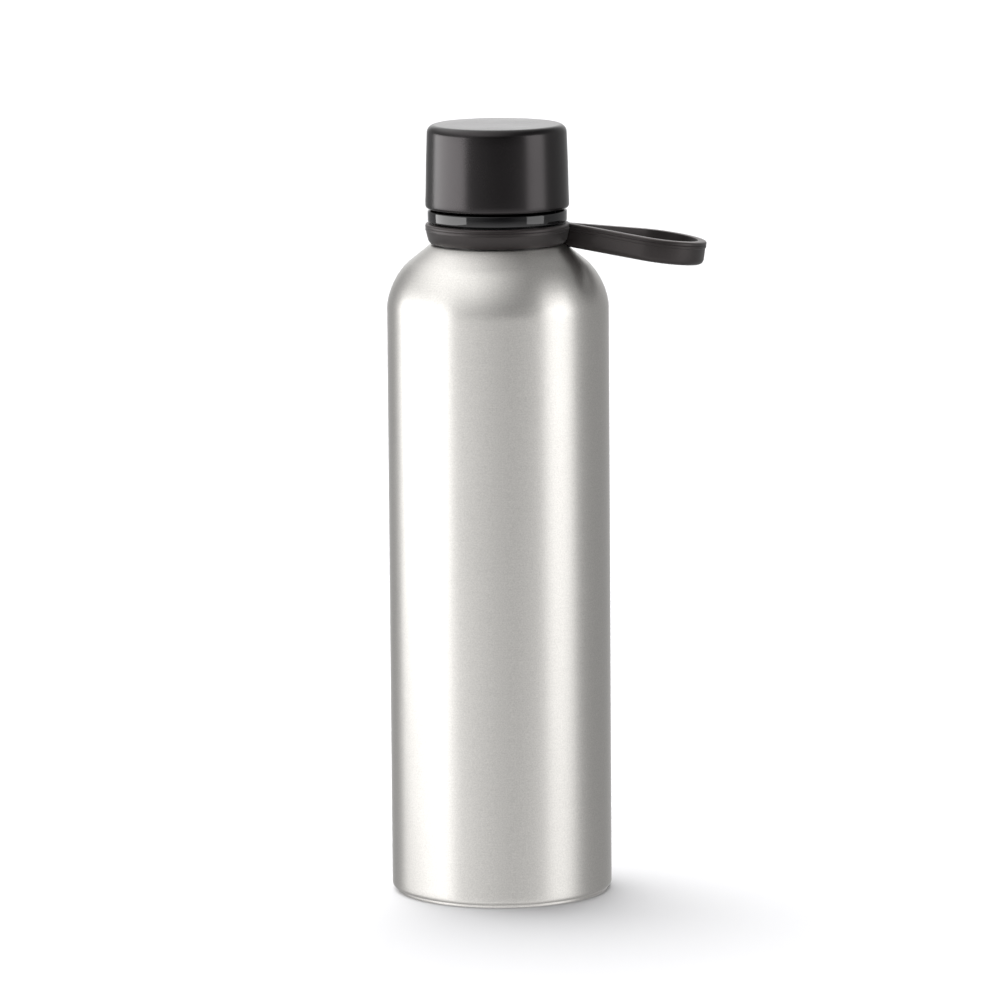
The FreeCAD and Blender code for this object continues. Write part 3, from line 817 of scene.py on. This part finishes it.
class BOTTLE_OT_cap(bpy.types.Operator):
    """Turn the cap's soft-touch shell, its threaded core with the plug, and the plug's disc"""
    bl_idname = "bottle.cap"
    bl_label = "Cap"

    def execute(self, context):
        cap = context.scene.bottle_cap
        self.shell(cap, context.scene.bottle_finishes)
        self.core(cap)
        self.plug_disc()
        return {"FINISHED"}

    def shell(self, cap, finishes):
        ceiling = cap.top - 1.8 * MM
        tall = cap.top - cap.foot
        top_radius = cap.radius - cap.taper
        shell = turn("cap_soft_shell", [
            (cap.bore, cap.foot),
            (cap.radius, cap.foot),
            (cap.radius, cap.foot + 0.09 * tall),
            (cap.radius - 0.17 * cap.taper, cap.foot + 0.22 * tall),
            (cap.radius - 0.42 * cap.taper, cap.foot + 0.55 * tall),
            (cap.radius - 0.72 * cap.taper, cap.foot + 0.80 * tall),
            (top_radius, cap.top),
            (0.6 * top_radius, cap.top),
            (0, cap.top),
        ], closed=False)
        round_ring(shell, top_radius, cap.top, cap.top_round, 10)
        round_ring(shell, cap.radius, cap.foot, cap.foot_round, 6)
        edit(shell)
        select_rim(shell)
        carry_ring((cap.bore, cap.foot), (cap.bore, ceiling))
        carry_ring((cap.bore, ceiling), (0.5 * cap.bore, ceiling))
        bpy.ops.mesh.merge(type="CENTER")
        face_outwards()
        dress(shell, soft_touch("soft_touch_black", finishes.cap), "soft_black", "cap", "cap_shell")

    def core(self, cap):
        low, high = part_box("cap_core")
        root = cap.thread_root + cap.thread_depth + cap.thread_gap
        crest = cap.thread_root + cap.thread_gap
        web_foot = high.z - 1.5 * MM
        plug_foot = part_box("cap_plug_disc")[0].z
        plug_bore = 15.0 * MM
        plug_radius = 16.4 * MM
        groove = 15.85 * MM
        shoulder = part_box("cap_gasket")[0].z - 0.2 * MM
        core = turn("cap_threaded_core", [
            (root, low.z),
            (high.y, low.z),
            (high.y, high.z),
            (plug_bore, high.z),
            (plug_bore, plug_foot),
            (plug_radius, plug_foot),
            (plug_radius, shoulder),
            (groove, shoulder),
            (groove, web_foot),
            (root, web_foot),
        ])
        round_ring(core, plug_radius, plug_foot, 0.6 * MM, 5)
        round_ring(core, root, low.z, 0.3 * MM, 3)
        ridges = thread("core_ridge", cap.thread_starts, inside=root + RIDGE_ROOT, outside=crest,
                        foot_half=RIDGE_FOOT, tip_half=RIDGE_TIP,
                        height=cap.thread_foot + cap.thread_lead / cap.thread_starts / 2,
                        lead=cap.thread_lead, rise=4.5 * MM)
        core = join([core, ridges])
        dress(core, moulded_plastic("moulded_black", (0.018, 0.018, 0.019)), "core_black", "cap", "cap_core")

    def plug_disc(self):
        low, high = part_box("cap_plug_disc")
        radius = high.x
        disc = turn("cap_plug_face", [
            (0.3 * radius, high.z),
            (radius, high.z),
            (radius, low.z),
            (radius - 1.2 * MM, low.z),
            (radius - 1.7 * MM, low.z + 0.5 * MM),
            (3.0 * MM, low.z + 0.5 * MM),
            (2.6 * MM, low.z + 0.2 * MM),
            (0, low.z + 0.2 * MM),
        ], closed=False)
        edit(disc)
        select_rim(disc)
        bpy.ops.mesh.merge(type="CENTER")
        face_outwards()
        dress(disc, moulded_plastic("moulded_disc", (0.020, 0.020, 0.021), 0.36), "core_black", "cap",
              "cap_plug_disc")


class BOTTLE_OT_gasket(bpy.types.Operator):
    """Turn the silicone gasket with its rounded lips"""
    bl_idname = "bottle.gasket"
    bl_label = "Gasket"

    def execute(self, context):
        low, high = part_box("cap_gasket")
        inside = 16.1 * MM
        gasket = turn("mouth_gasket", [(inside, low.z), (high.x, low.z), (high.x, high.z), (inside, high.z)])
        for radius in (inside, high.x):
            for height in (low.z, high.z):
                round_ring(gasket, radius, height, 0.4 * MM, 4)
        finish = silicone("gasket_silicone", context.scene.bottle_finishes.gasket, 0.45)
        dress(gasket, finish, "seal_silicone", "gasket", "cap_gasket")
        return {"FINISHED"}


class BOTTLE_OT_strap(bpy.types.Operator):
    """Turn the strap's ring, sweep its finger loop, and fuse the two into one moulding"""
    bl_idname = "bottle.strap"
    bl_label = "Strap"

    def execute(self, context):
        strap = context.scene.bottle_strap
        moulding = self.ring(strap)
        loop = self.loop(strap)
        apply_modifier(moulding, "BOOLEAN", {"operation": "UNION", "solver": "EXACT", "object": loop,
                                             "use_self": True})
        bpy.data.objects.remove(loop)
        self.ease_roots(moulding)
        finish = silicone("strap_silicone", context.scene.bottle_finishes.strap)
        dress(moulding, finish, "strap_silicone", None, "strap_ring", "strap_loop")
        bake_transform(moulding)
        return {"FINISHED"}

    def bead(self, strap, face, top):
        """The bead's outline: a step out, a fine moulding line and the upper edge."""
        out = face + strap.bead_depth
        line = top - strap.line_height
        return [
            (face, top - strap.bead_height),
            (out, top - strap.bead_height + strap.bead_depth),
            (out, line - strap.line_depth),
            (out - strap.line_depth, line),
            (out, line + strap.line_depth),
            (out, top),
        ]

    def ring(self, strap):
        """The ring: a rounded lower edge, a face that leans out and a bead along the top."""
        face = strap.ring_outside - strap.bead_depth
        foot = strap.ring_outside - strap.ring_lean
        ring = turn("carry_strap", [
            (strap.ring_inside, strap.ring_foot),
            (foot, strap.ring_foot),
            (face - 0.42 * strap.ring_lean, strap.ring_foot + 1.2 * MM),
            (face - 0.12 * strap.ring_lean, strap.ring_foot + 3.2 * MM),
            *self.bead(strap, face, strap.ring_top),
            (strap.ring_inside, strap.ring_top),
        ])
        round_ring(ring, foot, strap.ring_foot, 0.5 * MM, 4)
        round_ring(ring, strap.ring_outside, strap.ring_top, 0.7 * MM, 5)
        round_ring(ring, strap.ring_inside, strap.ring_top, 0.35 * MM, 3)
        return ring

    def loop(self, strap):
        """The loop: its section runs out along one leg, turns round the end and runs back."""
        half = strap.band_height / 2
        spread = math.asin((strap.loop_radius - half) / (strap.loop_centre - strap.flex_reach))
        along = Vector((math.cos(spread), -math.sin(spread), 0))
        back = Vector((-along.x, along.y, 0))
        end = Vector((strap.loop_centre, 0, 0))
        middle = strap.loop_radius - strap.band_thickness / 2
        tangent = end - Vector((math.sin(spread), math.cos(spread), 0)) * middle
        stride = along * ((tangent.x - strap.ring_inside - 0.9 * MM) / along.x / LEG_STEPS)
        loop = self.section("strap_loop_form", half, strap)
        bpy.ops.transform.rotate(value=spread, orient_axis="Z", center_override=(0, 0, 0))
        bpy.ops.transform.translate(value=tangent - stride * LEG_STEPS)
        for _ in range(LEG_STEPS):
            bpy.ops.mesh.extrude_region_move(TRANSFORM_OT_translate={"value": stride})
        bpy.ops.mesh.spin(steps=END_STEPS, angle=math.pi + 2 * spread, center=end, axis=(0, 0, -1))
        for _ in range(LEG_STEPS):
            bpy.ops.mesh.extrude_region_move(TRANSFORM_OT_translate={"value": back * stride.length})
        bpy.ops.mesh.select_all(action="SELECT")
        bpy.ops.mesh.remove_doubles(threshold=SAME_PLACE)
        bpy.ops.mesh.normals_make_consistent(inside=False)
        bpy.ops.transform.translate(value=(0, 0, strap.flex_height))
        bpy.ops.transform.rotate(value=-strap.loop_slope, orient_axis="Y",
                                 center_override=(strap.flex_reach, 0, strap.flex_height))
        bpy.ops.object.mode_set(mode="OBJECT")
        return loop

    def section(self, name, half, strap):
        """The band's section as a face across the X axis, its outer side towards -Y, in edit mode."""
        deselect()
        bpy.ops.mesh.primitive_plane_add(size=MM)
        piece = bpy.context.object
        piece.name = name
        side = strap.band_thickness / 2
        outer = [(-out, up) for out, up in self.bead(strap, side, half)]
        corners = [(side, -half), (-side, -half), *outer, (side, half)]
        bpy.ops.object.mode_set(mode="EDIT")
        bpy.ops.mesh.select_all(action="SELECT")
        bpy.ops.mesh.merge(type="CENTER")
        here = (0, 0)
        for there in corners:
            step = (0, there[0] - here[0], there[1] - here[1])
            if here == (0, 0):
                bpy.ops.transform.translate(value=step)
            else:
                bpy.ops.mesh.extrude_vertices_move(TRANSFORM_OT_translate={"value": step})
            here = there
        bpy.ops.mesh.select_all(action="SELECT")
        bpy.ops.mesh.edge_face_add()
        self.round_corner(piece, -side, -half, 1.7 * MM, 6)
        self.round_corner(piece, -side - strap.bead_depth, half, 0.7 * MM, 5)
        self.round_corner(piece, side, half, 0.3 * MM, 3)
        self.round_corner(piece, side, -half, 0.5 * MM, 3)
        bpy.ops.mesh.select_all(action="SELECT")
        return piece

    def round_corner(self, piece, across, up, radius, segments):
        """Bevel one corner of the section."""
        bpy.ops.mesh.select_all(action="DESELECT")
        mesh = bmesh.from_edit_mesh(piece.data)
        for vertex in mesh.verts:
            off = max(abs(vertex.co.y - across), abs(vertex.co.z - up))
            vertex.select_set(off < SAME_PLACE)
        bmesh.update_edit_mesh(piece.data)
        bpy.ops.mesh.bevel(offset=radius, offset_type="OFFSET", segments=segments, profile=0.5,
                           affect="VERTICES", clamp_overlap=False)

    def ease_roots(self, moulding):
        """Merge the seam's slivers where the legs leave the ring."""
        edit(moulding)
        bpy.ops.mesh.select_all(action="SELECT")
        bpy.ops.mesh.remove_doubles(threshold=SLIVER)
        bpy.ops.mesh.dissolve_degenerate(threshold=SPECK)
        face_outwards()


class BOTTLE_OT_hidden(bpy.types.Operator):
    """Give the sealed CAD pieces their own finishes"""
    bl_idname = "bottle.hidden"
    bl_label = "Hidden pieces"

    def execute(self, context):
        finishes = context.scene.bottle_finishes
        materials = {
            "vacuum_seal": solder("solder_bead"),
            "vacuum_getter": spun_steel("getter_steel", finishes.liner, 0.4),
            "cap_foam": closed_cell_foam("foam_puck", finishes.foam),
        }
        for node, material in materials.items():
            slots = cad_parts[node].data.materials
            slots.clear()
            slots.append(material)
        return {"FINISHED"}


class BOTTLE_OT_studio(bpy.types.Operator):
    """Set out the floor, the surroundings, the softboxes and the camera"""
    bl_idname = "bottle.studio"
    bl_label = "Studio"

    def execute(self, context):
        studio = context.scene.bottle_studio
        context.scene.view_settings.view_transform = "Standard"
        self.floor(context)
        self.surroundings(context, studio.overhead)
        self.sun(studio.scrim)
        self.softbox("left_softbox", studio.side_light, **LEFT_SOFTBOX)
        self.softbox("right_strip", studio.strip_light, **RIGHT_STRIP)
        self.camera(context, studio)
        return {"FINISHED"}

    def floor(self, context):
        """A plain floor; reflections look past it to the room's own light from below."""
        deselect()
        bpy.ops.mesh.primitive_plane_add(size=FLOOR_SIZE)
        floor = context.object
        floor.name = "studio_floor"
        floor.data.materials.append(studio_floor("studio_floor", context.scene.bottle_finishes.floor))
        floor.visible_glossy = False

    def surroundings(self, context, overhead):
        """The room by bearing, fading to an even ceiling; the lens sees white all round."""
        world = bpy.data.worlds.new("studio_room")
        context.scene.world = world
        world.use_nodes = True
        room = Shading(world.node_tree)
        direction = room.node("ShaderNodeTexCoord", output="Generated")
        height = room.node("ShaderNodeSeparateXYZ", values={0: direction}, output="Z")
        ceiling = room.node("ShaderNodeMapRange", {"interpolation_type": "SMOOTHSTEP"},
                            {"Value": height, "From Min": 0.3, "From Max": 0.8})
        walls = room.round_the_room(direction)
        sideways = room.node("ShaderNodeSeparateXYZ", values={0: direction}, output="X")
        panel = room.node("ShaderNodeMapRange", values={"Value": sideways, "From Min": -0.4, "From Max": 0.45,
                                                        "To Min": 1.4 * overhead, "To Max": 0.15 * overhead})
        above = walls + ceiling * (panel - walls)
        below = room.node("ShaderNodeMapRange", {"interpolation_type": "SMOOTHSTEP"},
                          {"Value": height, "From Min": 0.02, "From Max": -0.06})
        forward = room.node("ShaderNodeSeparateXYZ", values={0: direction}, output="Y")
        front = room.node("ShaderNodeMapRange", values={"Value": forward, "From Min": 0.1, "From Max": -0.9})
        near = room.ramp(height * -1, GLOW_BY_DIP)
        light = above + below * (walls * FLOOR_ECHO + front * near * FLOOR_GLOW + FLOOR_LEVEL - above)
        seen = room.node("ShaderNodeLightPath", output="Is Camera Ray")
        background = world.node_tree.nodes["Background"]
        background.inputs["Color"].default_value = (1, 1, 1, 1)
        room.feed(background.inputs["Strength"], light.maths("MAXIMUM", light, seen))

    def sun(self, strength):
        """A broad soft light from above that only matt surfaces see; it draws the shadow."""
        deselect()
        bpy.ops.object.light_add(type="SUN", rotation=(0, SUN_LEAN, SUN_TURN))
        lamp = bpy.context.object
        lamp.name = "overhead_scrim"
        lamp.data.energy = strength
        lamp.data.angle = SUN_SPREAD
        lamp.visible_glossy = False

    def softbox(self, name, radiance, bearing, distance, height, size):
        """A softbox at a bearing in degrees to the left of the camera, facing the bottle."""
        turn_left = math.radians(bearing)
        place = Vector((-math.sin(turn_left) * distance, -math.cos(turn_left) * distance, height))
        lamp = self.area(name, place, Vector((0, 0, height)) - place, size, radiance)
        lamp.visible_diffuse = False

    def area(self, name, place, facing, size, radiance):
        """An area light of an even radiance, whatever its size."""
        deselect()
        bpy.ops.object.light_add(type="AREA", location=place)
        lamp = bpy.context.object
        lamp.name = name
        lamp.rotation_euler = facing.to_track_quat("-Z", "Y").to_euler()
        lamp.data.shape = "RECTANGLE"
        lamp.data.size, lamp.data.size_y = size
        lamp.data.energy = radiance * math.pi * size[0] * size[1]
        return lamp

    def camera(self, context, studio):
        deselect()
        bpy.ops.object.camera_add()
        camera = context.object
        camera.name = "studio_camera"
        tilt = Matrix.Rotation(math.pi / 2 - studio.camera_pitch, 4, "X")
        roll = Matrix.Rotation(studio.camera_roll, 4, "Z")
        place = Matrix.Translation((CAMERA_ASIDE, -studio.camera_distance, studio.camera_height))
        camera.matrix_world = place @ tilt @ roll
        camera.data.lens = studio.lens
        camera.data.sensor_width = 36
        camera.data.clip_end = 100
        context.scene.camera = camera


PIECES = (
    BOTTLE_OT_wall,
    BOTTLE_OT_base,
    BOTTLE_OT_liner,
    BOTTLE_OT_collar,
    BOTTLE_OT_cap,
    BOTTLE_OT_gasket,
    BOTTLE_OT_strap,
    BOTTLE_OT_hidden,
    BOTTLE_OT_studio,
)


class BOTTLE_PT_panel(bpy.types.Panel):
    """The bottle's operators and sizes in the sidebar"""
    bl_idname = "BOTTLE_PT_panel"
    bl_label = "Bottle"
    bl_space_type = "VIEW_3D"
    bl_region_type = "UI"
    bl_category = "Bottle"

    def draw(self, context):
        for piece in PIECES:
            self.layout.operator(piece.bl_idname)
        for group in GROUPS:
            box = self.layout.box()
            owner = getattr(context.scene, group)
            for name in owner.bl_rna.properties.keys():
                if name not in ("name", "rna_type"):
                    box.prop(owner, name)


GROUPS = {
    "bottle_sizes": BottleSizes,
    "bottle_cap": CapSizes,
    "bottle_strap": StrapSizes,
    "bottle_finishes": Finishes,
    "bottle_studio": StudioSettings,
}


def register():
    for group, kind in GROUPS.items():
        bpy.utils.register_class(kind)
        setattr(bpy.types.Scene, group, PointerProperty(type=kind))
    for piece in PIECES:
        bpy.utils.register_class(piece)
    bpy.utils.register_class(BOTTLE_PT_panel)


def unregister():
    bpy.utils.unregister_class(BOTTLE_PT_panel)
    for piece in reversed(PIECES):
        bpy.utils.unregister_class(piece)
    for group, kind in GROUPS.items():
        delattr(bpy.types.Scene, group)
        bpy.utils.unregister_class(kind)


def main():
    register()
    for piece in PIECES:
        kit, name = piece.bl_idname.split(".")
        getattr(getattr(bpy.ops, kit), name)()


if __name__ == "__main__":
    main()
